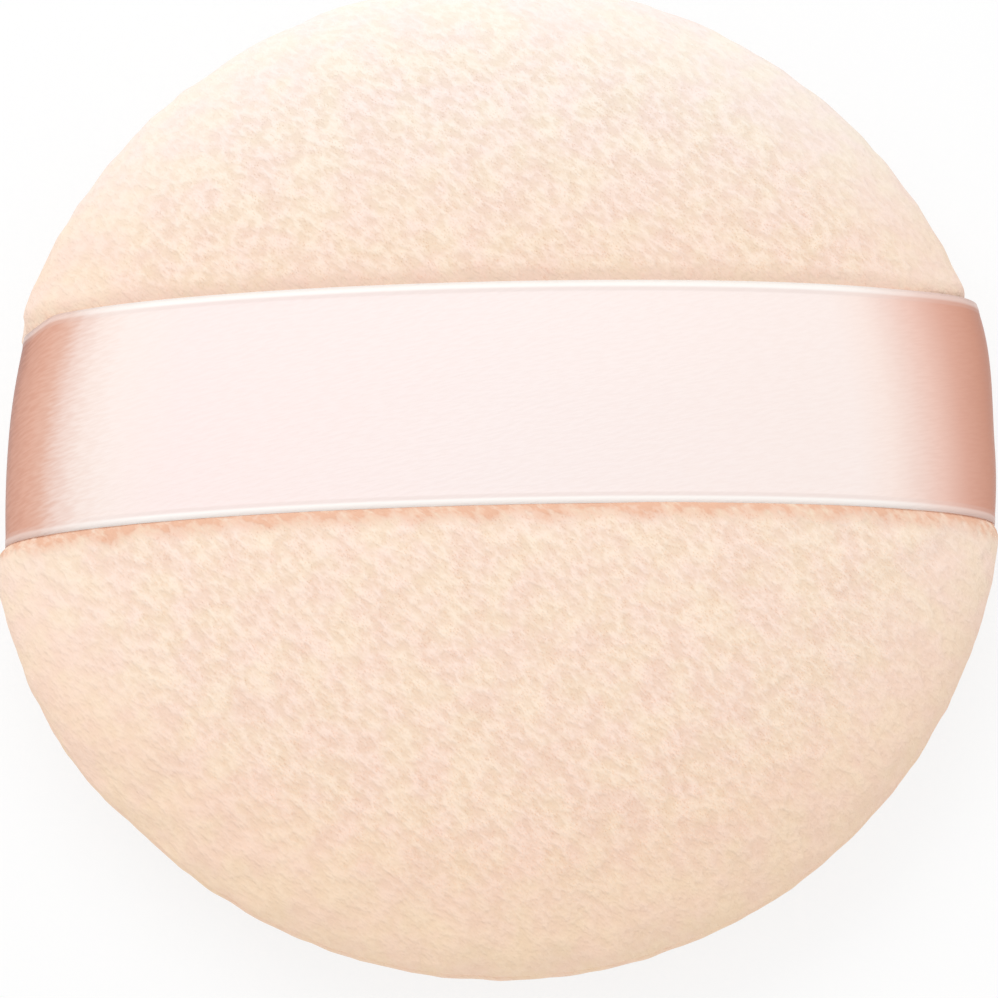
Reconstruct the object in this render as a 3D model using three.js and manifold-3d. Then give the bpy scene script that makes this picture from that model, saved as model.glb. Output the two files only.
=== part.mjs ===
// A round velour powder puff with a satin ribbon across its back for the fingers.
// It lies on its powder face. Millimetres, +Z up: the origin is on the surface below the
// puff's middle, X runs along the ribbon and Y across it.
import * as THREE from "three";
import { mergeVertices } from "three/addons/utils/BufferGeometryUtils.js";
import Module from "manifold-3d";

const wasm = await Module();
wasm.setup();

// Driving dimensions: the pad
const puffWidth = 86; // over the pile, along the ribbon, which draws the pad in a little
const puffDepth = 89.8; // over the pile, across the ribbon
const crownHeight = 9.5; // pile tips of the back above the seam
const bellyHeight = 9; // seam above the surface that the powder face lies on
const restWidth = 38; // flat patch on which the powder face lies
const plushThickness = 3; // velour, ground cloth and pile together
const groundThickness = 0.9; // velour in the seam, where the pile is combed out
const seamAllowance = 5; // cloth turned in behind the seam
const pieceGap = 0.3; // room between pieces that touch

// Driving dimensions: the ribbon
const ribbonWidth = 20;
const ribbonThickness = 0.4;
const ribbonSink = 0.5; // its face below the pile tips, because it presses the pile down
const ribbonOffset = 3.1; // its middle line from the puff's middle
const strapSpan = 64; // the stretch that lifts off the pad for the fingers

// Driving dimensions: the stitching
const threadDiameter = 0.5;
const stitchInset = 1; // stitch line from the pad's inner wall, at the thread's height
const stitchPitch = 7; // from one needle hole to the next
const turningGap = 25; // left open to turn and fill the pad, then sewn up by hand

// How finely curves are drawn
const roundSegments = 40;
const outsideSteps = 9;
const insideSteps = 5;
const ribbonSteps = 5;
const ribbonSlices = 4;
const threadSides = 5;

// Sizes that follow
const radius = puffWidth / 2;
const oval = puffDepth / puffWidth;
const wallRadius = radius - plushThickness;
const edgeRadius = wallRadius - seamAllowance;
const seamHalf = pieceGap / 2;
const allowanceTop = seamHalf + groundThickness;
const threadLevel = allowanceTop + pieceGap + threadDiameter / 2;
const threadTop = threadLevel + threadDiameter / 2;
const grooveHalf = threadTop + pieceGap;
const tabHalf = ribbonThickness / 2;
const holeWidth = threadDiameter + 2 * pieceGap;

// A closed geometry as a solid, and a solid as a geometry
function solidOf(geometry) {
  const bare = geometry.clone();
  bare.deleteAttribute("normal");
  bare.deleteAttribute("uv");
  const merged = mergeVertices(bare);
  return new wasm.Manifold(
    new wasm.Mesh({
      numProp: 3,
      vertProperties: merged.getAttribute("position").array,
      triVerts: new Uint32Array(merged.getIndex().array),
    }),
  );
}

function geometryOf(solid) {
  const { vertProperties, triVerts } = solid.getMesh();
  const geometry = new THREE.BufferGeometry();
  geometry.setAttribute("position", new THREE.BufferAttribute(vertProperties, 3));
  geometry.setIndex(new THREE.BufferAttribute(triVerts, 1));
  geometry.computeVertexNormals();
  return geometry;
}

// Points of a quarter ellipse from the rim, at height 0, to the flat or point at its far end
function quarter(rimRadius, flatRadius, height, steps) {
  const points = [];
  for (let i = 0; i <= steps; i++) {
    const turn = (i / steps) * (Math.PI / 2);
    const r = flatRadius + (rimRadius - flatRadius) * Math.cos(turn);
    points.push(new THREE.Vector2(i === steps ? flatRadius : r, height * Math.sin(turn)));
  }
  return points;
}

// A profile turned about the pad's middle, and widened across the ribbon
function turned(profile) {
  const geometry = new THREE.LatheGeometry(profile, roundSegments);
  geometry.rotateX(Math.PI / 2);
  geometry.scale(1, oval, 1);
  return solidOf(geometry);
}

// The part of a quarter ellipse that is further than a level from the seam
function beyond(points, level) {
  const first = points.findIndex((p) => Math.abs(p.y) > level);
  const [below, above] = [points[first - 1], points[first]];
  const share = (level - Math.abs(below.y)) / (Math.abs(above.y) - Math.abs(below.y));
  return [below.clone().lerp(above, share), ...points.slice(first)];
}

// Velour cover: a bowl of plush with its edge turned in flat behind the seam.
// side is 1 for the back and -1 for the powder face.
function coverSolid(side, flatRadius, height) {
  const lifted = (points) => points.map((p) => new THREE.Vector2(p.x, side * (seamHalf + p.y)));
  const outside = lifted(quarter(radius, flatRadius, height - seamHalf, outsideSteps));
  const inside = quarter(wallRadius, flatRadius, height - plushThickness, insideSteps);
  const wall = beyond(inside, allowanceTop).map((p) => new THREE.Vector2(p.x, side * p.y));
  const profile = [
    new THREE.Vector2(0, side * height),
    ...outside.reverse(),
    new THREE.Vector2(edgeRadius, side * seamHalf),
    new THREE.Vector2(edgeRadius, side * allowanceTop),
    ...wall,
    new THREE.Vector2(0, side * (height - plushThickness)),
  ];
  if (flatRadius === 0) {
    profile.shift();
    profile.pop();
  }
  return turned(side > 0 ? profile.reverse() : profile);
}

// Sponge core: it fills the covers and has a groove round its edge for the sewn allowance.
function coreSolid(flatRadius) {
  const reach = wallRadius - pieceGap;
  const topHeight = crownHeight - plushThickness - pieceGap;
  const footHeight = bellyHeight - plushThickness - pieceGap;
  const top = beyond(quarter(reach, 0, topHeight, insideSteps), grooveHalf);
  const foot = beyond(quarter(reach, flatRadius, footHeight, insideSteps), grooveHalf);
  const grooveRadius = edgeRadius - pieceGap;
  const profile = [
    new THREE.Vector2(0, -footHeight),
    ...foot.map((p) => new THREE.Vector2(p.x, -p.y)).reverse(),
    new THREE.Vector2(grooveRadius, -grooveHalf),
    new THREE.Vector2(grooveRadius, grooveHalf),
    ...top,
  ];
  return turned(profile);
}

// Where a line over the pad, sunk below the pile tips, passes a given place along the ribbon
function turnAt(x, sink) {
  return Math.acos(x / (radius - sink));
}

// Adds the ribbon's arch between two places along it, from the right to the left or back
function arch(shape, sink, from, to) {
  const [start, end] = [turnAt(from, sink), turnAt(to, sink)];
  shape.absellipse(0, 0, radius - sink, crownHeight - sink, start, end, from < to, 0);
}

// A section along the ribbon, drawn out across its width. Each slice of the pad across the
// ribbon is the middle one made smaller, so the section shrinks in the same way.
function acrossRibbon(shape, width) {
  const geometry = new THREE.ExtrudeGeometry(shape, {
    depth: width,
    steps: ribbonSlices,
    curveSegments: ribbonSteps,
    bevelEnabled: false,
  });
  geometry.rotateX(Math.PI / 2);
  geometry.translate(0, ribbonOffset + width / 2, 0);
  const place = geometry.getAttribute("position");
  for (let i = 0; i < place.count; i++) {
    const share = Math.sqrt(1 - (place.getY(i) / (puffDepth / 2)) ** 2);
    place.setX(i, place.getX(i) * share);
    place.setZ(i, place.getZ(i) * share);
  }
  return solidOf(geometry);
}

const faceSink = ribbonSink;
const backSink = ribbonSink + ribbonThickness;
const bedSink = backSink + pieceGap;

// Ribbon strap: the stretch over the crown, which lifts straight up off the pad
function strapSolid() {
  const half = strapSpan / 2 - pieceGap / 2;
  const shape = new THREE.Shape();
  arch(shape, faceSink, half, -half);
  arch(shape, backSink, -half, half);
  return acrossRibbon(shape, ribbonWidth);
}

// Ribbon end: it runs down the pad's side and turns in between the covers, where it is sewn
function ribbonEndSolid(side) {
  const face = radius - faceSink;
  const back = radius - backSink;
  const half = strapSpan / 2 + pieceGap / 2;
  const shape = new THREE.Shape();
  shape.moveTo(edgeRadius, -tabHalf);
  shape.lineTo(face, -tabHalf);
  arch(shape, faceSink, face, half);
  const tabTurn = Math.asin(tabHalf / (crownHeight - backSink));
  arch(shape, backSink, half, back * Math.cos(tabTurn));
  shape.lineTo(edgeRadius, tabHalf);
  return side > 0 ? acrossRibbon(shape, ribbonWidth) : acrossRibbon(shape, ribbonWidth).mirror([1, 0, 0]);
}

// Bed for the ribbon: what it presses out of the pile and out of the seam, with its clearance
function ribbonBed() {
  const outside = radius + plushThickness;
  const tabEnd = edgeRadius - pieceGap;
  const level = tabHalf + pieceGap;
  const back = radius - bedSink;
  const wall = back * Math.cos(Math.asin(level / (crownHeight - bedSink)));
  const shape = new THREE.Shape();
  shape.moveTo(tabEnd, -level);
  shape.lineTo(outside, -level);
  shape.lineTo(outside, crownHeight + plushThickness);
  shape.lineTo(-outside, crownHeight + plushThickness);
  shape.lineTo(-outside, -level);
  shape.lineTo(-tabEnd, -level);
  shape.lineTo(-tabEnd, level);
  arch(shape, bedSink, -wall, -strapSpan / 2);
  arch(shape, bedSink, -strapSpan / 2, strapSpan / 2);
  arch(shape, bedSink, strapSpan / 2, wall);
  shape.lineTo(tabEnd, level);
  return acrossRibbon(shape, ribbonWidth + 2 * pieceGap);
}

// Needle holes, evenly round the seam, where both covers leave the thread room
function wallAt(level, flatRadius, height) {
  return beyond(quarter(wallRadius, flatRadius, height - plushThickness, insideSteps), level)[0].x;
}

const wallUp = wallAt(threadTop, 0, crownHeight);
const wallDown = wallAt(threadTop, restWidth / 2, bellyHeight);
const stitchRadius = Math.min(wallUp, wallDown) - stitchInset;
const stitchLine = Math.PI * stitchRadius * (1 + oval);
const stitchCount = 2 * Math.round(stitchLine / stitchPitch / 2);

function needlePlace(i) {
  const turn = ((i + 0.5) / stitchCount) * 2 * Math.PI;
  return new THREE.Vector3(stitchRadius * Math.cos(turn), stitchRadius * oval * Math.sin(turn), 0);
}

function needleHoles() {
  const holes = [];
  for (let i = 0; i < stitchCount; i++) {
    const place = needlePlace(i);
    const hole = new THREE.BoxGeometry(holeWidth, holeWidth, 2 * threadLevel);
    hole.rotateZ(Math.atan2(place.y, place.x));
    hole.translate(place.x, place.y, 0);
    holes.push(solidOf(hole));
  }
  return wasm.Manifold.union(holes);
}

// Running stitch: one thread down through a hole, along to the next, and up again.
// Each ring of the tube lies where the thread bends and is mitred there.
function stitchGeometry(firstHole, lastHole) {
  const corners = [];
  for (let i = firstHole; i <= lastHole; i++) {
    const level = i % 2 === 0 ? threadLevel : -threadLevel;
    corners.push(needlePlace(i).setZ(level), needlePlace(i).setZ(-level));
  }
  const positions = [];
  corners.forEach((corner, i) => {
    const outward = corner.clone().setZ(0).normalize();
    const before = corner.clone().sub(corners[Math.max(i - 1, 0)]).normalize();
    const after = (corners[i + 1] ?? corner).clone().sub(corner).normalize();
    const mitre = new THREE.Vector3().crossVectors(outward, before);
    mitre.add(new THREE.Vector3().crossVectors(outward, after));
    for (let k = 0; k < threadSides; k++) {
      const turn = (k / threadSides) * 2 * Math.PI;
      const point = corner.clone();
      point.addScaledVector(outward, (threadDiameter / 2) * Math.cos(turn));
      point.addScaledVector(mitre, (threadDiameter / 2) * Math.sin(turn));
      positions.push(...point.toArray());
    }
  });
  const faces = [];
  const lastRing = (corners.length - 1) * threadSides;
  for (let k = 0; k < threadSides; k++) {
    const next = (k + 1) % threadSides;
    for (let ring = 0; ring < lastRing; ring += threadSides) {
      const ahead = ring + threadSides;
      faces.push(ring + k, ahead + next, ring + next, ring + k, ahead + k, ahead + next);
    }
    if (k > 0 && next > 0) {
      faces.push(0, k, next, lastRing, lastRing + next, lastRing + k);
    }
  }
  const geometry = new THREE.BufferGeometry();
  geometry.setAttribute("position", new THREE.Float32BufferAttribute(positions, 3));
  geometry.setIndex(faces);
  geometry.computeVertexNormals();
  return geometry;
}

// Materials
const velour = new THREE.MeshStandardMaterial({ color: 0xf8dec9, roughness: 0.95, metalness: 0 });
const satin = new THREE.MeshStandardMaterial({ color: 0xf3d3c7, roughness: 0.35, metalness: 0 });
const sponge = new THREE.MeshStandardMaterial({ color: 0xf6efe2, roughness: 0.9, metalness: 0 });
const thread = new THREE.MeshStandardMaterial({ color: 0xf3dcc8, roughness: 0.7, metalness: 0 });

// The pad is put together about its seam, and stands on its powder face
const pad = new THREE.Group();
pad.position.z = bellyHeight;

function addPiece(name, geometry, material) {
  const mesh = new THREE.Mesh(geometry, material);
  mesh.name = name;
  pad.add(mesh);
}

const bed = ribbonBed();
const holes = needleHoles();
const upperCover = coverSolid(1, 0, crownHeight).subtract(bed).subtract(holes);
const lowerCover = coverSolid(-1, restWidth / 2, bellyHeight).subtract(bed).subtract(holes);
addPiece("lower_cover", geometryOf(lowerCover), velour);
addPiece("sponge_core", geometryOf(coreSolid(restWidth / 2)), sponge);
addPiece("upper_cover", geometryOf(upperCover), velour);
addPiece("ribbon_strap", geometryOf(strapSolid()), satin);
addPiece("ribbon_end_right", geometryOf(ribbonEndSolid(1).subtract(holes)), satin);
addPiece("ribbon_end_left", geometryOf(ribbonEndSolid(-1).subtract(holes)), satin);

// The hand-sewn stretch is at the far side, a quarter turn from the ribbon's ends
const closingStitches = Math.round(turningGap / stitchPitch);
const closingFirst = Math.round(stitchCount / 4 - closingStitches / 2);
const closingLast = closingFirst + closingStitches;
addPiece("closing_thread", stitchGeometry(closingFirst, closingLast), thread);
addPiece("seam_thread", stitchGeometry(closingLast + 1, closingFirst - 1 + stitchCount), thread);

const puff = new THREE.Group();
puff.add(pad);
export default puff;
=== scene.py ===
# A round velour powder puff lying on its powder face, with a satin ribbon across its back that
# two fingers go under. It is put together below in the order in which it is made: the sponge, the
# two velour covers with their pile, the ribbon, the stitching, and then the studio round it.
import math

import bmesh
import bpy
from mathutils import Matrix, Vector, noise


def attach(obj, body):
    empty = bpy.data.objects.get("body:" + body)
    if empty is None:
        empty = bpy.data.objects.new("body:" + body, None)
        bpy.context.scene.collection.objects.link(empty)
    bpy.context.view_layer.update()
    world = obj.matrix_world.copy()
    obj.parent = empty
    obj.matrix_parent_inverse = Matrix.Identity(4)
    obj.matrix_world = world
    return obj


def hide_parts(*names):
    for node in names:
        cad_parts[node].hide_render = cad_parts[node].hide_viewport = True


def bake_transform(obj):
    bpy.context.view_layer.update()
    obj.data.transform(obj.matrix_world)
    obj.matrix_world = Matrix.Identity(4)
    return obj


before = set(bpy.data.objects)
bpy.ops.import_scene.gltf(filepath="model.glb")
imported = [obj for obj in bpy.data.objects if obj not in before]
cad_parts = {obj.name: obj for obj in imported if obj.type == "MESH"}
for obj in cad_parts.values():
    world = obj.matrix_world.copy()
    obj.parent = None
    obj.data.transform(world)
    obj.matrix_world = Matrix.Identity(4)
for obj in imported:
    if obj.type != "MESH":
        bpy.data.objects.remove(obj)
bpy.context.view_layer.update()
scene = bpy.context.scene

# Sponge core: a lens of open-cell foam, cut to fill the covers and to give the puff its crown.
# It is pressed in through a gap in the seam, and the sewn allowance sits in the groove round it.
mm = 0.001
seam_height = 9 * mm
pad_half_width = 43 * mm
pad_half_depth = 44.9 * mm
crown = 9.5 * mm
belly = 9 * mm
rest_half = 19 * mm


def pad_form(bm, inset):
    """Moves the points of a unit sphere onto the pad, a given depth below its pile tips."""
    flat = rest_half / pad_half_width
    for v in bm.verts:
        x, y, z = v.co
        r = math.hypot(x, y)
        if z >= 0:
            rise = (crown - inset) * z
        else:
            out = max(0.0, (r - flat) / (1 - flat))
            rise = -(belly - inset) * math.sqrt(max(0.0, 1 - out * out))
        v.co = (x * (pad_half_width - inset), y * (pad_half_depth - inset), seam_height + rise)


def piece(name, bm, material):
    """A finished bmesh as an object at the origin, smooth and with its material."""
    mesh = bpy.data.meshes.new(name)
    bm.to_mesh(mesh)
    bm.free()
    mesh.shade_smooth()
    mesh.materials.append(material)
    made = bpy.data.objects.new(name, mesh)
    scene.collection.objects.link(made)
    return made


def add(tree, kind, links=None, **settings):
    """A node with its settings, and each input linked to a socket or set to a value."""
    made = tree.nodes.new(kind)
    for name, value in settings.items():
        setattr(made, name, value)
    for name, source in (links or {}).items():
        if isinstance(source, bpy.types.NodeSocket):
            tree.links.new(source, made.inputs[name])
        else:
            made.inputs[name].default_value = source
    return made


def rgb(code):
    """An sRGB hex colour as linear RGBA."""
    parts = [int(code[i : i + 2], 16) / 255 for i in (1, 3, 5)]
    return (*[c / 12.92 if c <= 0.04045 else ((c + 0.055) / 1.055) ** 2.4 for c in parts], 1)


def new_material(name):
    """An empty node material and its tree."""
    material = bpy.data.materials.new(name)
    material.use_nodes = True
    material.node_tree.nodes.clear()
    return material, material.node_tree


# Polyurethane foam, blown and sliced: cream and matt, with open cells that the eye just makes out
cell_size = 0.6 * mm
foam, tree = new_material("Polyurethane foam")
place = add(tree, "ShaderNodeTexCoord").outputs["Object"]
cells = add(tree, "ShaderNodeTexVoronoi", {"Vector": place, "Scale": 1 / cell_size})
shade = add(
    tree,
    "ShaderNodeMix",
    {"Factor": cells.outputs["Distance"], "A": rgb("#F2E7D4"), "B": rgb("#FBF5EA")},
    data_type="RGBA",
)
bump = add(
    tree, "ShaderNodeBump", {"Height": cells.outputs["Distance"], "Strength": 0.6, "Distance": 0.2 * mm}
)
surface = add(
    tree,
    "ShaderNodeBsdfPrincipled",
    {
        "Base Color": shade.outputs[2],
        "Roughness": 0.9,
        "Specular IOR Level": 0.2,
        "Normal": bump.outputs["Normal"],
    },
)
add(tree, "ShaderNodeOutputMaterial", {"Surface": surface.outputs["BSDF"]})

sponge_inset = 3.6 * mm
groove_half = 2.3 * mm
groove_depth = 5.5 * mm
pit_size = 0.9 * mm
pit_depth = 0.15 * mm
bm = bmesh.new()
bmesh.ops.create_icosphere(bm, subdivisions=6, radius=1)
pad_form(bm, sponge_inset)
for v in bm.verts:
    level = abs(v.co.z - seam_height) / groove_half
    if level < 1:
        reach = math.hypot(v.co.x, v.co.y)
        keep = 1 - groove_depth * (1 - level**4) / reach
        v.co.x *= keep
        v.co.y *= keep
bm.normal_update()
for v in bm.verts:
    pit = noise.noise(v.co / pit_size)
    v.co -= v.normal * pit_depth * (1 + pit)
sponge = piece("sponge_core_foam", bm, foam)
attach(sponge, "pad")
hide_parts("sponge_core")

# Velour covers: two discs of velour, sewn face to face round the edge and turned right side out.
# The ground cloth is knitted cotton; its allowance, 5 mm, is turned in behind the seam.
ground_thickness = 0.8 * mm
allowance = 5 * mm
seam_gap = 0.02 * mm
pile_length = 0.36 * mm
# The cloth's outside lies only just below the pile's tips, as velour is so dense that it looks solid
cloth_depth = 0.08 * mm
ribbon_middle = 3.1 * mm
ribbon_half = 10 * mm


def smooth(t):
    """A step from 0 to 1 that starts and ends gently."""
    t = min(1.0, max(0.0, t))
    return t * t * (3 - 2 * t)


def beside_ribbon(co):
    """How far a point of the back lies outside the ribbon's edge; less than 0 under it."""
    return abs(co.y - ribbon_middle) - ribbon_half


# The tufts of such velour are about 0.3 mm across; they are drawn coarser, because that would not show
tuft_size = 0.7 * mm
nap_angle = math.radians(45)
along_nap = (0.5, 1, 1)


def tufted(tree, place):
    """Signed noise in patches drawn out along the nap, which runs slantwise over the puff."""
    slant = add(
        tree, "ShaderNodeVectorRotate", {"Vector": place, "Angle": nap_angle}, rotation_type="Z_AXIS"
    )
    grain = add(tree, "ShaderNodeVectorMath", {0: slant.outputs[0], 1: along_nap}, operation="MULTIPLY")
    return add(
        tree,
        "ShaderNodeTexNoise",
        {"Vector": grain.outputs[0], "Scale": 1 / tuft_size, "Detail": 2.0, "Roughness": 0.6},
        normalize=False,
    )


rim_start = 0.75
rim_full = 0.98


def rim_of(tree, place):
    """How near a point is to the rim, from 0 well inside it to 1 at the seam."""
    across = add(
        tree,
        "ShaderNodeVectorMath",
        {0: place, 1: (1 / pad_half_width, 1 / pad_half_depth, 0)},
        operation="MULTIPLY",
    )
    out = add(tree, "ShaderNodeVectorMath", {0: across.outputs[0]}, operation="LENGTH")
    near = add(
        tree,
        "ShaderNodeMapRange",
        {"Value": out.outputs["Value"], "From Min": rim_start, "From Max": rim_full},
    )
    return near.outputs[0]


def hollows(tree, place):
    """Where the pile opens between its tufts, from 0 to 1, for painted shade in the hollows; at the rim,
    drawn tight, it hardly does.
    """
    open_to = add(
        tree,
        "ShaderNodeMapRange",
        {"Value": tufted(tree, place).outputs["Fac"], "From Min": 0.45, "From Max": -0.45},
    )
    tight = add(tree, "ShaderNodeMath", {0: rim_of(tree, place), 1: 0.65}, operation="MULTIPLY")
    return add(tree, "ShaderNodeMix", {0: tight.outputs[0], 2: open_to.outputs[0], 3: 0.2}).outputs[0]


def flat_and_shaded(tree, place):
    """How deep a tone the pile gets beside the ribbon's edge, from 0 to 1, ragged with the tufts: partly
    the pressed pile, partly painted shade.
    """
    press_and_shade = add(tree, "ShaderNodeAttribute", attribute_name="press_and_shade")
    uneven = add(
        tree,
        "ShaderNodeMath",
        {0: tufted(tree, place).outputs["Fac"], 1: 0.9, 2: 1.0},
        operation="MULTIPLY_ADD",
    )
    ragged = add(
        tree, "ShaderNodeMath", {0: press_and_shade.outputs["Fac"], 1: uneven.outputs[0]}, operation="MULTIPLY"
    )
    flat = add(tree, "ShaderNodeMapRange", {"Value": ragged.outputs[0], "From Min": 0.1, "From Max": 1.0})
    return flat.outputs[0]


def set_stops(ramp, half, stops):
    """Gives a colour ramp, which runs from -half to half, its colours at places in millimetres."""
    while len(ramp.elements) < len(stops):
        ramp.elements.new(0.5)
    for element, (at, code) in zip(ramp.elements, stops):
        element.position = (at + half) / (2 * half)
        element.color = rgb(code)


painted_tone_half = 75
rim_shift = -13 * mm
patch_size = 3 * mm


def painted_light_tone(tree, place):
    """The velour's colour with painted light and shade: pale behind, towards the lamp, and deep at the
    front rim.
    """
    rim = rim_of(tree, place)
    depth = add(tree, "ShaderNodeSeparateXYZ", {"Vector": place}).outputs["Y"]
    swing = add(tree, "ShaderNodeMath", {0: rim, 1: 0.5, 2: 1.0}, operation="MULTIPLY_ADD")
    swung = add(tree, "ShaderNodeMath", {0: depth, 1: swing.outputs[0]}, operation="MULTIPLY")
    toward_light = add(
        tree, "ShaderNodeMath", {0: rim, 1: rim_shift, 2: swung.outputs[0]}, operation="MULTIPLY_ADD"
    )
    spot = add(
        tree,
        "ShaderNodeMapRange",
        {"Value": toward_light.outputs[0], "From Min": -painted_tone_half * mm, "From Max": painted_tone_half * mm},
    )
    tone = add(tree, "ShaderNodeValToRGB", {"Fac": spot.outputs[0]})
    # Painted light and shade: paler stops behind the puff, deeper ones at the front rim
    shades = [
        (-72, "#FFE4CC"),
        (-45, "#FEE4D0"),
        (-24, "#FEE9D9"),
        (-8, "#FEEBDC"),
        (14, "#FBE6D6"),
        (30, "#FBEFE6"),
        (55, "#FFF9F4"),
    ]
    set_stops(tone.color_ramp, painted_tone_half, shades)
    # Faint cream and pink patches
    clouds = add(tree, "ShaderNodeTexNoise", {"Vector": place, "Scale": 1 / patch_size, "Detail": 3.0})
    spread = add(
        tree, "ShaderNodeMapRange", {"Value": clouds.outputs["Fac"], "From Min": 0.38, "From Max": 0.62}
    )
    patch = add(
        tree,
        "ShaderNodeMix",
        {"Factor": spread.outputs[0], "A": rgb("#FFFFFA"), "B": rgb("#FFFBFC")},
        data_type="RGBA",
    )
    return add(
        tree,
        "ShaderNodeMix",
        {"Factor": 1.0, "A": tone.outputs["Color"], "B": patch.outputs[2]},
        data_type="RGBA",
        blend_type="MULTIPLY",
    ).outputs[2]


def velour_colour(tree, place, hollow_shade, pressed_and_shaded):
    """The velour's painted light and shade, with painted shade in the hollows between the tufts and a
    deeper tone, partly painted shade, beside the ribbon's edge.
    """
    hollow_shaded = add(
        tree,
        "ShaderNodeMix",
        {"Factor": hollows(tree, place), "A": rgb("#FFFFFF"), "B": rgb(hollow_shade)},
        data_type="RGBA",
    )
    mottled = add(
        tree,
        "ShaderNodeMix",
        {"Factor": 1.0, "A": painted_light_tone(tree, place), "B": hollow_shaded.outputs[2]},
        data_type="RGBA",
        blend_type="MULTIPLY",
    )
    toned = add(
        tree,
        "ShaderNodeMix",
        {"Factor": flat_and_shaded(tree, place), "A": mottled.outputs[2], "B": rgb(pressed_and_shaded)},
        data_type="RGBA",
    )
    return toned.outputs[2]


# Knitted cotton, dyed a pale peach, its loops raised and sheared: quite matt and finely mottled. Painted
# light and
# shade: pale behind, deep at the front rim, painted shade in the hollows between the tufts, and salmon in
# a ragged line where the ribbon's edge keeps the light out, partly the pressed pile and partly painted
# shade
velour_ground, tree = new_material("Knitted cotton ground")
place = add(tree, "ShaderNodeTexCoord").outputs["Object"]
shade = velour_colour(tree, place, "#F6F0EA", "#ECBDA2")
bump = add(
    tree,
    "ShaderNodeBump",
    {"Height": tufted(tree, place).outputs["Fac"], "Strength": 0.6, "Distance": 0.12 * mm},
)
surface = add(
    tree,
    "ShaderNodeBsdfPrincipled",
    {
        "Base Color": shade,
        "Roughness": 0.95,
        "Specular IOR Level": 0.1,
        "Normal": bump.outputs["Normal"],
    },
)
add(tree, "ShaderNodeOutputMaterial", {"Surface": surface.outputs["BSDF"]})

# Both covers as one closed shell, sewn a little small. A cloth simulation fills it; the seam, the
# ribbon and the table hold it where they touch it.
shell_inset = 0.1 * mm
most_swell = 0.35 * mm
seam_hold = 0.6 * mm
table_hold = 0.9 * mm
last_moment = 20
bm = bmesh.new()
bmesh.ops.create_icosphere(bm, subdivisions=6, radius=1)
pad_form(bm, shell_inset)
held = [
    v.index
    for v in bm.verts
    if abs(v.co.z - seam_height) < seam_hold
    or v.co.z < table_hold
    or (v.co.z > seam_height and beside_ribbon(v.co) < 0)
]
shell = piece("filled_covers", bm, velour_ground)
shell.vertex_groups.new(name="Held").add(held, 1.0, "REPLACE")
cloth = shell.modifiers.new("Filling", "CLOTH")
cloth.settings.vertex_group_mass = "Held"
cloth.settings.mass = 0.0005
cloth.settings.tension_stiffness = 15
cloth.settings.compression_stiffness = 15
cloth.settings.shear_stiffness = 5
cloth.settings.bending_stiffness = 0.05
cloth.settings.use_pressure = True
cloth.settings.uniform_pressure_force = 200
cloth.settings.effector_weights.gravity = 0
cloth.point_cache.frame_start = 1
cloth.point_cache.frame_end = last_moment
for moment in range(1, last_moment + 1):
    scene.frame_set(moment)
filled = shell.evaluated_get(bpy.context.evaluated_depsgraph_get()).data
swollen = [v.co.copy() for v in filled.vertices]
shell.modifiers.clear()
scene.frame_set(1)
for v, co in zip(shell.data.vertices, swollen):
    swell = co - v.co
    v.co += swell * min(1.0, most_swell / max(swell.length, 1e-9))
rounding = shell.modifiers.new("Rounding", "SUBSURF")
rounding.levels = rounding.render_levels = 1
rounded = shell.evaluated_get(bpy.context.evaluated_depsgraph_get())
filled_covers = bpy.data.meshes.new_from_object(rounded)
bpy.data.objects.remove(shell)

# The seam gathers the cloth in small pleats, and creases it
gather_depth = 0.18 * mm
gather_width = 2.2 * mm
gather_reach = 3 * mm
crease_depth = 0.4 * mm
crease_half = 0.7 * mm
# The ribbon lies in a bed, and its edges press the pile. Along them runs a ragged line of deeper salmon,
# partly the pressed pile and partly painted shade, more in front, where the ribbon's shadow falls, than
# behind
bed_depth = 0.8 * mm
shoulder = 1.0 * mm
tuck = 1.2 * mm
press_reach = 2.3 * mm
press_behind = 0.35
scallop_depth = 0.7 * mm
scallop_width = 2.6 * mm
# The ribbon's ends draw the cloth in under them, and clear of them it swells out
end_start = 36 * mm
end_reach = 4 * mm
side_reach = 4 * mm
left_draw = 1.2 * mm
right_draw = 0.8 * mm
rear_let_out = 1.5 * mm
spare_width = 0.2 * mm
rear_spare = 1.0 * mm
swell_all_round = 0.3 * mm
swell_left_front = 0.8 * mm
swell_turn = math.radians(156)


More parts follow.
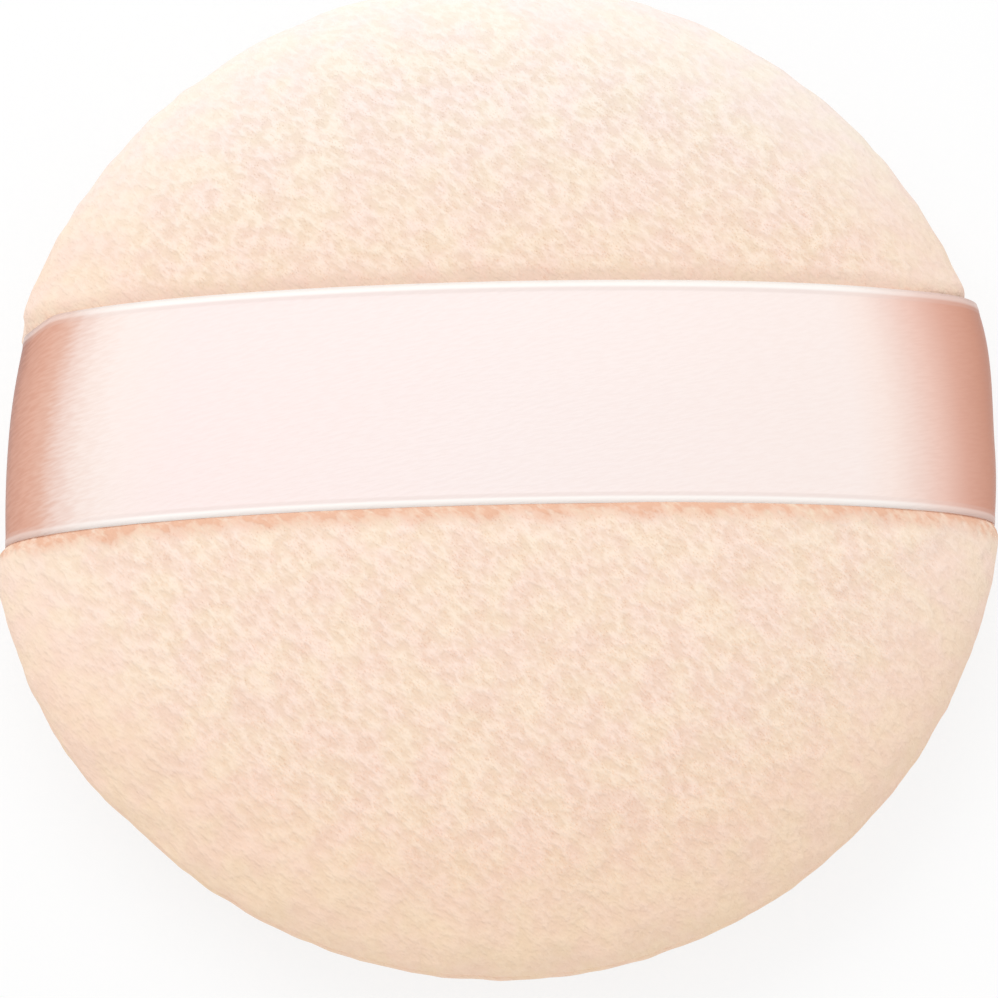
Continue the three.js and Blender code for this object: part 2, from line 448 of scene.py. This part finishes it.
def velour_root(side, depth):
    """The outside of one cover, a given depth below its pile tips; side 1 is the back."""
    bm = bmesh.new()
    bm.from_mesh(filled_covers)
    bm.normal_update()
    press_and_shade = bm.verts.layers.float.new("press_and_shade")
    for v in bm.verts:
        beside = beside_ribbon(v.co)
        level = abs(v.co.z - seam_height)
        gather = 0.3 + noise.noise(Vector((v.co.x, v.co.y, 0)) / gather_width)
        sink = depth + gather_depth * gather * smooth(1 - level / gather_reach)
        sink += crease_depth * smooth(1 - level / crease_half)
        if side > 0 and v.co.z > seam_height:
            sink += bed_depth * smooth((shoulder - beside) / (shoulder + tuck))
            scallop = scallop_depth * noise.noise(Vector((v.co.x, 0, 0)) / scallop_width)
            force = 1 if v.co.y < ribbon_middle else press_behind
            # Deeper tone beside the ribbon's edges: partly the pressed pile, partly painted shade, weaker
            # behind
            v[press_and_shade] = smooth(1 - (beside + scallop) / press_reach) * force
        by_seam = smooth(1.6 - level / side_reach)
        behind = smooth((v.co.y - ribbon_middle) / ribbon_half)
        if v.co.x < 0:
            drawn = left_draw
            spare = spare_width - rear_spare * behind
        else:
            drawn = right_draw - rear_let_out * behind
            spare = spare_width
        drawn *= smooth((abs(v.co.x) - end_start) / end_reach) * smooth((spare - beside) / (1.6 * mm))
        drawn *= by_seam
        turn = math.atan2(v.co.y, v.co.x) + swell_turn
        bulge = swell_all_round + swell_left_front * smooth((math.cos(turn) - 0.92) / 0.07)
        bulge *= by_seam * smooth((beside + 0.5 * mm) / (2 * mm))
        v.co -= v.normal * sink
        v.co.x -= math.copysign(drawn, v.co.x)
        v.co += Vector((v.co.x, v.co.y, 0)).normalized() * bulge
    bmesh.ops.bisect_plane(
        bm,
        geom=[*bm.verts, *bm.edges, *bm.faces],
        plane_co=(0, 0, seam_height),
        plane_no=(0, 0, side),
        clear_inner=True,
    )
    bm.normal_update()
    return bm


def cover(name, node, side):
    """A cover's ground cloth with its turned-in allowance, as a cloth with thickness."""
    bm = velour_root(side, cloth_depth)
    rim = [e for e in bm.edges if e.is_boundary]
    turned = bmesh.ops.extrude_edge_only(bm, edges=rim)["geom"]
    for v in [g for g in turned if isinstance(g, bmesh.types.BMVert)]:
        keep = 1 - allowance / math.hypot(v.co.x, v.co.y)
        v.co = (v.co.x * keep, v.co.y * keep, v.co.z)
    for v in bm.verts:
        if abs(v.co.z - seam_height) < 0.01 * mm:
            v.co.z -= side * seam_gap
    bmesh.ops.recalc_face_normals(bm, faces=bm.faces)
    crest = max(bm.faces, key=lambda f: side * f.calc_center_median().z)
    if side * crest.normal.z < 0:
        bmesh.ops.reverse_faces(bm, faces=bm.faces)
    made = piece(name, bm, velour_ground)
    thick = made.modifiers.new("Cloth", "SOLIDIFY")
    thick.thickness = ground_thickness
    thick.offset = -1
    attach(made, "pad")
    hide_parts(node)


cover("velour_back_cloth", "upper_cover", 1)
cover("velour_face_cloth", "lower_cover", -1)

# Velour pile: cut cotton loops that stand up from the ground cloth and gather into fine tufts.
# The ribbon lays it flat, and beside the ribbon it is pressed down and pushed away.

# Cotton velour, sheared and brushed: soft and matt, with a faint sheen on the tips of the strands and
# a deeper tone at their feet
velour_pile, tree = new_material("Cotton velour pile")
rise = add(tree, "ShaderNodeAttribute", attribute_name="rise").outputs["Fac"]
place = add(tree, "ShaderNodeTexCoord").outputs["Object"]
# Painted light and shade as on the ground cloth: pale behind, deep at the front rim, painted shade in the
# hollows and beside the ribbon's edges
upper = velour_colour(tree, place, "#F6F1EC", "#EDC0A6")
foot = add(
    tree, "ShaderNodeMix", {"Factor": rise, "A": rgb("#FDF4EC"), "B": rgb("#FFFFFF")}, data_type="RGBA"
)
shade = add(
    tree,
    "ShaderNodeMix",
    {"Factor": 1.0, "A": upper, "B": foot.outputs[2]},
    data_type="RGBA",
    blend_type="MULTIPLY",
)
surface = add(
    tree,
    "ShaderNodeBsdfPrincipled",
    {
        "Base Color": shade.outputs[2],
        "Roughness": 0.9,
        "Specular IOR Level": 0.1,
        "Sheen Weight": 0.3,
        "Sheen Roughness": 0.4,
    },
)
add(tree, "ShaderNodeOutputMaterial", {"Surface": surface.outputs["BSDF"]})

# A strand is drawn about ten times as thick as a cotton fibre, and fewer stand there: finer ones
# would not show
strand_radius = 0.07 * mm
crowding = 1.6
stray_lean = 0.12
flattened_length = 0.7 * mm
pushed_reach = 1.3 * mm
map_share = 0.9


def pile(name, side, cuts, spacing, seed):
    """The pile of part of a cover, as one mesh of fine strands grown from the cover's outside."""
    bm = bmesh.new()
    bm.from_mesh(roots[side])
    for point, away in cuts:
        bmesh.ops.bisect_plane(
            bm,
            geom=[*bm.verts, *bm.edges, *bm.faces],
            plane_co=point,
            plane_no=away,
            clear_outer=True,
        )
    push = bm.verts.layers.float_vector.new("push")
    stand, length, ruffle, girth = [
        bm.verts.layers.float.new(trait) for trait in ("stand", "length", "ruffle", "girth")
    ]
    under = name.endswith("ribbon")
    for v in bm.verts:
        out = math.hypot(v.co.x / pad_half_width, v.co.y / pad_half_depth)
        rim = smooth((out - rim_start) / 0.22)
        v[girth] = 1 - 0.5 * rim
        if under:
            v[push] = Vector((0.9, 0, 0))
            v[stand] = 0.3
            v[length] = flattened_length
        else:
            near = smooth(1 - beside_ribbon(v.co) / pushed_reach) if side > 0 else 0
            away = math.copysign(1, v.co.y - ribbon_middle)
            v[push] = Vector((0.6, -0.5 + 0.4 * away * near, 0)) * (1 - 0.6 * rim)
            v[stand] = 1
            v[length] = pile_length * (1.8 - 0.7 * rim) * (1 - 0.45 * near)
            v[ruffle] = 0.35 - 0.15 * rim
    host = piece(name, bm, velour_pile)

    tree = bpy.data.node_groups.new(name, "GeometryNodeTree")
    tree.interface.new_socket("Root", in_out="INPUT", socket_type="NodeSocketGeometry")
    tree.interface.new_socket("Pile", in_out="OUTPUT", socket_type="NodeSocketGeometry")
    spread = add(
        tree,
        "GeometryNodeDistributePointsOnFaces",
        {
            "Mesh": add(tree, "NodeGroupInput").outputs[0],
            "Distance Min": spacing,
            "Density Max": crowding / spacing**2,
            "Seed": seed,
        },
        distribute_method="POISSON",
    )
    place = add(tree, "GeometryNodeInputPosition").outputs[0]
    push, stand, length, ruffle, girth = [
        add(tree, "GeometryNodeInputNamedAttribute", {"Name": trait}, data_type=kind).outputs[0]
        for trait, kind in (
            ("push", "FLOAT_VECTOR"),
            ("stand", "FLOAT"),
            ("length", "FLOAT"),
            ("ruffle", "FLOAT"),
            ("girth", "FLOAT"),
        )
    ]

    # Tufts: strands lean together in patches drawn out along the nap, which runs slantwise
    tufts = tufted(tree, place)
    upright = add(
        tree,
        "ShaderNodeVectorMath",
        {0: spread.outputs["Normal"], 1: stand, 2: push},
        operation="MULTIPLY_ADD",
    )
    leant = add(
        tree,
        "ShaderNodeVectorMath",
        {0: tufts.outputs["Color"], 1: ruffle, 2: upright.outputs[0]},
        operation="MULTIPLY_ADD",
    )
    stray = add(
        tree,
        "FunctionNodeRandomValue",
        {0: (-stray_lean,) * 3, 1: (stray_lean,) * 3, "Seed": seed + 2},
        data_type="FLOAT_VECTOR",
    )
    direction = add(
        tree, "ShaderNodeVectorMath", {0: leant.outputs[0], 1: stray.outputs[0]}, operation="ADD"
    )
    turn = add(tree, "FunctionNodeAlignRotationToVector", {"Vector": direction.outputs[0]}, axis="Z")
    uneven = add(tree, "FunctionNodeRandomValue", {2: 0.75, 3: 0.9, "Seed": seed + 3}, data_type="FLOAT")
    crest = add(
        tree,
        "ShaderNodeMath",
        {0: tufts.outputs["Fac"], 1: ruffle, 2: uneven.outputs[1]},
        operation="MULTIPLY_ADD",
    )
    height = add(tree, "ShaderNodeMath", {0: length, 1: crest.outputs[0]}, operation="MULTIPLY")
    size = add(tree, "ShaderNodeCombineXYZ", {"X": girth, "Y": girth, "Z": height.outputs[0]})

    # One strand, a three-sided spike that knows how far along it a point is
    strand = add(
        tree,
        "GeometryNodeMeshCone",
        {"Vertices": 3, "Radius Top": 0.0, "Radius Bottom": strand_radius, "Depth": 1.0},
    )
    along = add(tree, "ShaderNodeSeparateXYZ", {"Vector": place})
    risen = add(
        tree,
        "GeometryNodeStoreNamedAttribute",
        {"Geometry": strand.outputs["Mesh"], "Name": "rise", "Value": along.outputs["Z"]},
        data_type="FLOAT",
        domain="POINT",
    )
    mapped = add(
        tree,
        "GeometryNodeStoreNamedAttribute",
        {"Geometry": risen.outputs[0], "Name": "OFBake", "Value": strand.outputs["UV Map"]},
        data_type="FLOAT2",
        domain="CORNER",
    )
    numbered = add(
        tree,
        "GeometryNodeStoreNamedAttribute",
        {
            "Geometry": spread.outputs["Points"],
            "Name": "strand",
            "Value": add(tree, "GeometryNodeInputIndex").outputs[0],
        },
        data_type="INT",
        domain="POINT",
    )
    grown = add(
        tree,
        "GeometryNodeInstanceOnPoints",
        {
            "Points": numbered.outputs[0],
            "Instance": mapped.outputs[0],
            "Rotation": turn.outputs[0],
            "Scale": size.outputs[0],
        },
    )
    solid = add(tree, "GeometryNodeRealizeInstances", {"Geometry": grown.outputs[0]})

    # Each strand gets its own square of the map, in as many rows as there are squares in a row
    count = add(
        tree, "GeometryNodeAttributeDomainSize", {0: numbered.outputs[0]}, component="POINTCLOUD"
    )
    root = add(tree, "ShaderNodeMath", {0: count.outputs[0]}, operation="SQRT")
    rows = add(tree, "ShaderNodeMath", {0: root.outputs[0]}, operation="CEIL").outputs[0]
    which = add(tree, "GeometryNodeInputNamedAttribute", {"Name": "strand"}, data_type="INT").outputs[0]
    column = add(tree, "ShaderNodeMath", {0: which, 1: rows}, operation="MODULO")
    line = add(tree, "ShaderNodeMath", {0: which, 1: rows}, operation="DIVIDE")
    row = add(tree, "ShaderNodeMath", {0: line.outputs[0]}, operation="FLOOR")
    corner = add(tree, "ShaderNodeCombineXYZ", {"X": column.outputs[0], "Y": row.outputs[0]})
    own = add(tree, "GeometryNodeInputNamedAttribute", {"Name": "OFBake"}, data_type="FLOAT_VECTOR")
    laid = add(
        tree,
        "ShaderNodeVectorMath",
        {0: own.outputs[0], 1: (map_share, map_share, 0), 2: corner.outputs[0]},
        operation="MULTIPLY_ADD",
    )
    share = add(tree, "ShaderNodeMath", {0: 1.0, 1: rows}, operation="DIVIDE")
    fitted = add(
        tree, "ShaderNodeVectorMath", {0: laid.outputs[0], "Scale": share.outputs[0]}, operation="SCALE"
    )
    unwrapped = add(
        tree,
        "GeometryNodeStoreNamedAttribute",
        {"Geometry": solid.outputs[0], "Name": "OFBake", "Value": fitted.outputs[0]},
        data_type="FLOAT2",
        domain="CORNER",
    )

    # What would reach below the surface that the puff lies on is pressed flat against it
    axes = add(tree, "ShaderNodeSeparateXYZ", {"Vector": place})
    above = add(tree, "ShaderNodeMath", {0: axes.outputs["Z"], 1: 0.0}, operation="MAXIMUM")
    lying = add(
        tree,
        "ShaderNodeCombineXYZ",
        {"X": axes.outputs["X"], "Y": axes.outputs["Y"], "Z": above.outputs[0]},
    )
    settled = add(
        tree, "GeometryNodeSetPosition", {"Geometry": unwrapped.outputs[0], "Position": lying.outputs[0]}
    )
    dyed = add(tree, "GeometryNodeSetMaterial", {"Geometry": settled.outputs[0], "Material": velour_pile})
    add(tree, "NodeGroupOutput", {0: dyed.outputs[0]})

    grow = host.modifiers.new("Pile", "NODES")
    grow.node_group = tree
    whole = host.evaluated_get(bpy.context.evaluated_depsgraph_get())
    mesh = bpy.data.meshes.new_from_object(whole)
    host.modifiers.clear()
    host.data = mesh
    bpy.data.node_groups.remove(tree)
    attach(host, "pad")


roots = {}
for side in (1, -1):
    roots[side] = bpy.data.meshes.new("pile_roots")
    bm = velour_root(side, pile_length)
    bm.to_mesh(roots[side])
    bm.free()
front_edge = (0, ribbon_middle - ribbon_half, 0)
rear_edge = (0, ribbon_middle + ribbon_half, 0)
shelf = (0, 0, 4 * mm)
bed_edges = [(front_edge, (0, -1, 0)), (rear_edge, (0, 1, 0))]
pile("velour_pile_front", 1, [(front_edge, (0, 1, 0))], spacing=0.21 * mm, seed=11)
pile("velour_pile_rear", 1, [(rear_edge, (0, -1, 0))], spacing=0.21 * mm, seed=23)
pile("velour_pile_under_ribbon", 1, bed_edges, spacing=0.35 * mm, seed=37)
pile("velour_pile_side", -1, [(shelf, (0, 0, -1))], spacing=0.22 * mm, seed=41)
pile("velour_pile_face", -1, [(shelf, (0, 0, 1))], spacing=0.3 * mm, seed=53)

# Satin ribbon: a 20 mm polyester satin ribbon with woven edges, laid over the back of the puff.
# Its ends go down the sides and are turned in between the covers, where the seam catches them.
ribbon_sink = 0.5 * mm
ribbon_thickness = 0.3 * mm
tab = 7 * mm
streak_length = 1.2 * mm
streak_width = 0.26 * mm
streak_slant = math.radians(13)
fray = 0.4 * mm
colour_half = 50

# Polyester satin, woven with long floats, its own colour a salmon pink: painted sheen makes it pearly
# pink-white along the top, and painted shade a deep streaked salmon where the ends turn down and away
# from the light
satin, tree = new_material("Polyester satin")
flat = add(tree, "ShaderNodeUVMap", uv_map="Ribbon").outputs[0]
axes = add(tree, "ShaderNodeSeparateXYZ", {"Vector": flat})
along = axes.outputs["X"]
across = axes.outputs["Y"]
# The weave's floats, as streaks that run slightly aslant. Real ones are under 0.1 mm wide; they are
# drawn coarser, because those would not show
streak_place = add(
    tree,
    "ShaderNodeMapping",
    {"Vector": flat, "Rotation": (0, 0, streak_slant), "Scale": (streak_length, streak_width, 1)},
    vector_type="TEXTURE",
)
streaks = add(
    tree,
    "ShaderNodeTexNoise",
    {"Vector": streak_place.outputs[0], "Scale": 1.0, "Detail": 1.0},
    normalize=False,
)
# The colour along the ribbon: painted sheen over the middle, giving way past a frayed and slightly
# slanting border at each end to the salmon and painted shade of the ends
side = add(tree, "ShaderNodeMath", {0: along}, operation="SIGN")
slant = add(tree, "ShaderNodeMath", {0: side.outputs[0], 1: across}, operation="MULTIPLY")
skewed = add(tree, "ShaderNodeMath", {0: slant.outputs[0], 1: 0.08, 2: along}, operation="MULTIPLY_ADD")
frayed = add(
    tree,
    "ShaderNodeMath",
    {0: streaks.outputs["Fac"], 1: fray, 2: skewed.outputs[0]},
    operation="MULTIPLY_ADD",
)
spot = add(
    tree,
    "ShaderNodeMapRange",
    {"Value": frayed.outputs[0], "From Min": -colour_half * mm, "From Max": colour_half * mm},
)
ends = add(tree, "ShaderNodeValToRGB", {"Fac": spot.outputs[0]})
# Painted sheen in the middle; the salmon of the ends darkens to painted shade at the very tips
stops = [
    (-44.5, "#A8705F"),
    (-42.8, "#CF9883"),
    (-40.5, "#DDA994"),
    (-39, "#E2B5A2"),
    (-37.5, "#EDD1C6"),
    (-35.5, "#F5E3DB"),
    (-33, "#F7E8E2"),
    (-27, "#F8E7E4"),
    (0, "#F7EAE7"),
    (30, "#FAECE7"),
    (33, "#FAE7DF"),
    (35, "#F5DBD1"),
    (37.5, "#EFC8BA"),
    (40, "#DFAA97"),
    (42.5, "#D2967F"),
    (45, "#B97C67"),
]
set_stops(ends.color_ramp, colour_half, stops)
# The weave's streaks are faint in the middle, under the painted sheen, and show more at the ends, where
# that sheen doesn't cover them
lit_up = add(
    tree, "ShaderNodeMapRange", {"Value": streaks.outputs["Fac"], "From Min": -0.4, "From Max": 0.4}
)
float_streaks = add(
    tree,
    "ShaderNodeMix",
    {"Factor": lit_up.outputs[0], "A": rgb("#F6EDE9"), "B": rgb("#FFFFFF")},
    data_type="RGBA",
)
left_past_sheen = add(
    tree,
    "ShaderNodeMapRange",
    {"Value": along, "From Min": -32 * mm, "From Max": -39 * mm, "To Min": 0.15, "To Max": 0.6},
)
right_past_sheen = add(
    tree,
    "ShaderNodeMapRange",
    {"Value": along, "From Min": 31 * mm, "From Max": 37 * mm, "To Min": 0.15, "To Max": 0.5},
)
streaked = add(
    tree, "ShaderNodeMath", {0: left_past_sheen.outputs[0], 1: right_past_sheen.outputs[0]}, operation="MAXIMUM"
)
weave_shade = add(
    tree,
    "ShaderNodeMix",
    {"Factor": streaked.outputs[0], "A": ends.outputs["Color"], "B": float_streaks.outputs[2]},
    data_type="RGBA",
    blend_type="MULTIPLY",
)
# The woven edge: a pale cord along each side, with a fine dull line inside it, less white at the ends,
# where it shares the painted shade
edge = add(tree, "ShaderNodeMath", {0: across}, operation="ABSOLUTE").outputs[0]
toward_end = add(tree, "ShaderNodeMath", {0: along}, operation="ABSOLUTE")
white = add(
    tree,
    "ShaderNodeMapRange",
    {
        "Value": toward_end.outputs[0],
        "From Min": 30 * mm,
        "From Max": 38 * mm,
        "To Min": 0.8,
        "To Max": 0.3,
    },
)
line = add(
    tree,
    "ShaderNodeMapRange",
    {"Value": edge, "From Min": 8.95 * mm, "From Max": 9.1 * mm, "To Max": 0.5},
)
dull = add(tree, "ShaderNodeMath", {0: line.outputs[0], 1: white.outputs[0]}, operation="MULTIPLY")
lined = add(
    tree,
    "ShaderNodeMix",
    {"Factor": dull.outputs[0], "A": weave_shade.outputs[2], "B": rgb("#E3D2CC")},
    data_type="RGBA",
)
edging = add(tree, "ShaderNodeMapRange", {"Value": edge, "From Min": 9.3 * mm, "From Max": 9.5 * mm})
corded = add(tree, "ShaderNodeMath", {0: edging.outputs[0], 1: white.outputs[0]}, operation="MULTIPLY")
selvedge = add(
    tree,
    "ShaderNodeMix",
    {"Factor": corded.outputs[0], "A": lined.outputs[2], "B": rgb("#FFFCF8")},
    data_type="RGBA",
)
bump = add(
    tree,
    "ShaderNodeBump",
    {"Height": streaks.outputs["Fac"], "Strength": 0.12, "Distance": 0.05 * mm},
)
surface = add(
    tree,
    "ShaderNodeBsdfPrincipled",
    {
        "Base Color": selvedge.outputs[2],
        "Roughness": 0.4,
        "Specular IOR Level": 0.4,
        "Anisotropic": 0.5,
        "Normal": bump.outputs["Normal"],
    },
)
add(tree, "ShaderNodeOutputMaterial", {"Surface": surface.outputs["BSDF"]})

# The strip's middle line as a flat path over the crown: from tab end to tab end
face_half = pad_half_width - ribbon_sink
face_crown = crown - ribbon_sink
path = []
tab_steps = 12
crown_steps = 240
for i in range(tab_steps):
    path.append(Vector((-face_half + tab * (1 - i / tab_steps), 0, 0)))
for i in range(crown_steps + 1):
    turn = math.pi * (1 - i / crown_steps)
    path.append(Vector((face_half * math.cos(turn), 0, face_crown * math.sin(turn))))
for i in range(1, tab_steps + 1):
    path.append(Vector((face_half - tab * i / tab_steps, 0, 0)))
lengths = [0.0]
for a, b in zip(path, path[1:]):
    lengths.append(lengths[-1] + (b - a).length)
ribbon_length = lengths[-1]

# The strip is laid out flat, mapped by its length and width, and then bent over the crown
bead_height = 0.05 * mm
bead_start = 9.2 * mm
corner_tuck = 1.0 * mm
corner_proud = 1.1 * mm
end_tautness = 0.012
bm = bmesh.new()
bmesh.ops.create_grid(bm, x_segments=len(path) - 1, y_segments=40, size=0.5)
uv = bm.loops.layers.uv.new("Ribbon")
for v in bm.verts:
    i = round((v.co.x + 0.5) * (len(path) - 1))
    across = v.co.y * 2 * ribbon_half
    v.co = (i, across, 0)
for f in bm.faces:
    for loop in f.loops:
        spot = loop.vert.co
        loop[uv].uv = (lengths[round(spot.x)] - ribbon_length / 2, spot.y)
for v in bm.verts:
    middle = path[round(v.co.x)]
    across = v.co.y
    y = ribbon_middle + across
    share = math.sqrt(1 - (y / pad_half_depth) ** 2)
    bead = bead_height * smooth((abs(across) - bead_start) / (0.3 * mm))
    # The left end is drawn straight by its stitches, and its rear corner is tucked in; on the
    # right the rear corner stands out
    left = smooth((-middle.x - 39 * mm) / (3.5 * mm))
    right = smooth((middle.x - 35 * mm) / (6 * mm))
    taut = 1 - end_tautness * left * (1 - (across / ribbon_half) ** 2)
    y -= corner_tuck * left * smooth(across / ribbon_half)
    proud = corner_proud * right * smooth((across / ribbon_half + 0.3) / 1.3)
    v.co = (middle.x * share * taut + proud, y, seam_height + middle.z * share)
    if middle.z > 0:
        v.co += Vector((middle.x / face_half**2, 0, middle.z / face_crown**2)).normalized() * bead
bmesh.ops.recalc_face_normals(bm, faces=bm.faces)
ribbon = piece("satin_ribbon", bm, satin)
weave = ribbon.modifiers.new("Cloth", "SOLIDIFY")
weave.thickness = ribbon_thickness
weave.offset = -1
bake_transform(ribbon)
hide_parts("ribbon_strap", "ribbon_end_left", "ribbon_end_right")

# Stitching: the running seam that joins the covers, and the hand stitches that close the gap
# through which the sponge went in. Both are spun cotton thread, and lie inside the puff.

# Spun cotton, twisted and dyed to match the velour: dull, with fine slanting turns. A wave's bands lie
# 0.31 of its unit apart, so the turns are 0.4 mm apart
twist_unit = 1.2 * mm
cotton, tree = new_material("Spun cotton thread")
place = add(tree, "ShaderNodeTexCoord").outputs["Object"]
twist = add(tree, "ShaderNodeTexWave", {"Vector": place, "Scale": 1 / twist_unit, "Distortion": 2.0})
shade = add(
    tree,
    "ShaderNodeMix",
    {"Factor": twist.outputs["Fac"], "A": rgb("#EBCDB4"), "B": rgb("#FAE6D4")},
    data_type="RGBA",
)
bump = add(
    tree, "ShaderNodeBump", {"Height": twist.outputs["Fac"], "Strength": 0.5, "Distance": 0.1 * mm}
)
surface = add(
    tree,
    "ShaderNodeBsdfPrincipled",
    {
        "Base Color": shade.outputs[2],
        "Roughness": 0.7,
        "Specular IOR Level": 0.3,
        "Normal": bump.outputs["Normal"],
    },
)
add(tree, "ShaderNodeOutputMaterial", {"Surface": surface.outputs["BSDF"]})
for name in ("seam_thread", "closing_thread"):
    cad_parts[name].data.materials.clear()
    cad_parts[name].data.materials.append(cotton)

# Studio: a white table that the camera sees as white, an even light from all round, and one large
# soft lamp above and behind the puff.


def seen_white(tree):
    """1 for what the camera sees, straight or in a shine or through glass, and 0 for lighting."""
    rays = add(tree, "ShaderNodeLightPath")
    mirrored = add(
        tree,
        "ShaderNodeMath",
        {0: rays.outputs["Is Glossy Ray"], 1: rays.outputs["Is Transmission Ray"]},
        operation="MAXIMUM",
    )
    seen = add(
        tree,
        "ShaderNodeMath",
        {0: rays.outputs["Is Camera Ray"], 1: mirrored.outputs[0]},
        operation="MAXIMUM",
    )
    return seen.outputs[0]


# Uncoated white paper: matt and even, seen as white with only a faint shadow of the puff on it
whiteness = 0.8
paper, tree = new_material("White paper")
faint = add(tree, "ShaderNodeMath", {0: seen_white(tree), 1: whiteness}, operation="MULTIPLY")
card = add(tree, "ShaderNodeBsdfDiffuse", {"Color": rgb("#F8F8F8")})
glow = add(tree, "ShaderNodeEmission", {"Color": rgb("#FFFFFF"), "Strength": 1.0})
lit = add(tree, "ShaderNodeMixShader", {0: faint.outputs[0], 1: card.outputs[0], 2: glow.outputs[0]})
add(tree, "ShaderNodeOutputMaterial", {"Surface": lit.outputs[0]})
bm = bmesh.new()
bmesh.ops.create_grid(bm, x_segments=1, y_segments=1, size=2)
floor = piece("floor", bm, paper)

world = bpy.data.worlds.new("Studio")
scene.world = world
world.use_nodes = True
tree = world.node_tree
tree.nodes.clear()
level = add(tree, "ShaderNodeMapRange", {"Value": seen_white(tree), "To Min": 0.8, "To Max": 1.0})
sky = add(tree, "ShaderNodeBackground", {"Color": rgb("#FFFFFF"), "Strength": level.outputs[0]})
add(tree, "ShaderNodeOutputWorld", {"Surface": sky.outputs[0]})

lamp_data = bpy.data.lights.new("Softbox", "AREA")
lamp_data.shape = "RECTANGLE"
lamp_data.size = 0.6
lamp_data.size_y = 0.4
lamp_data.energy = 1.45
lamp = bpy.data.objects.new("Softbox", lamp_data)
scene.collection.objects.link(lamp)
lamp.location = (-0.15, 0.34, 0.54)
lamp.rotation_euler = (Vector((0, 0, 0)) - lamp.location).to_track_quat("-Z", "Y").to_euler()

# Camera: above the puff and a little to its front, far enough off for flat perspective
elevation = math.radians(70.94)
azimuth = math.radians(-1.434)
distance = 350 * mm
picture = 998
reach = math.cos(elevation)
back = Vector((math.sin(azimuth) * reach, -math.cos(azimuth) * reach, math.sin(elevation)))
camera_data = bpy.data.cameras.new("Camera")
camera_data.lens = 147.63
camera_data.clip_start = 0.01
camera_data.shift_x = (499 - 498.5) / picture
camera_data.shift_y = (461.1 - 499) / picture
camera = bpy.data.objects.new("Camera", camera_data)
scene.collection.objects.link(camera)
camera.location = Vector((0, 0, seam_height)) + back * distance
camera.rotation_euler = back.to_track_quat("Z", "Y").to_euler()
scene.camera = camera

scene.view_settings.view_transform = "Standard"
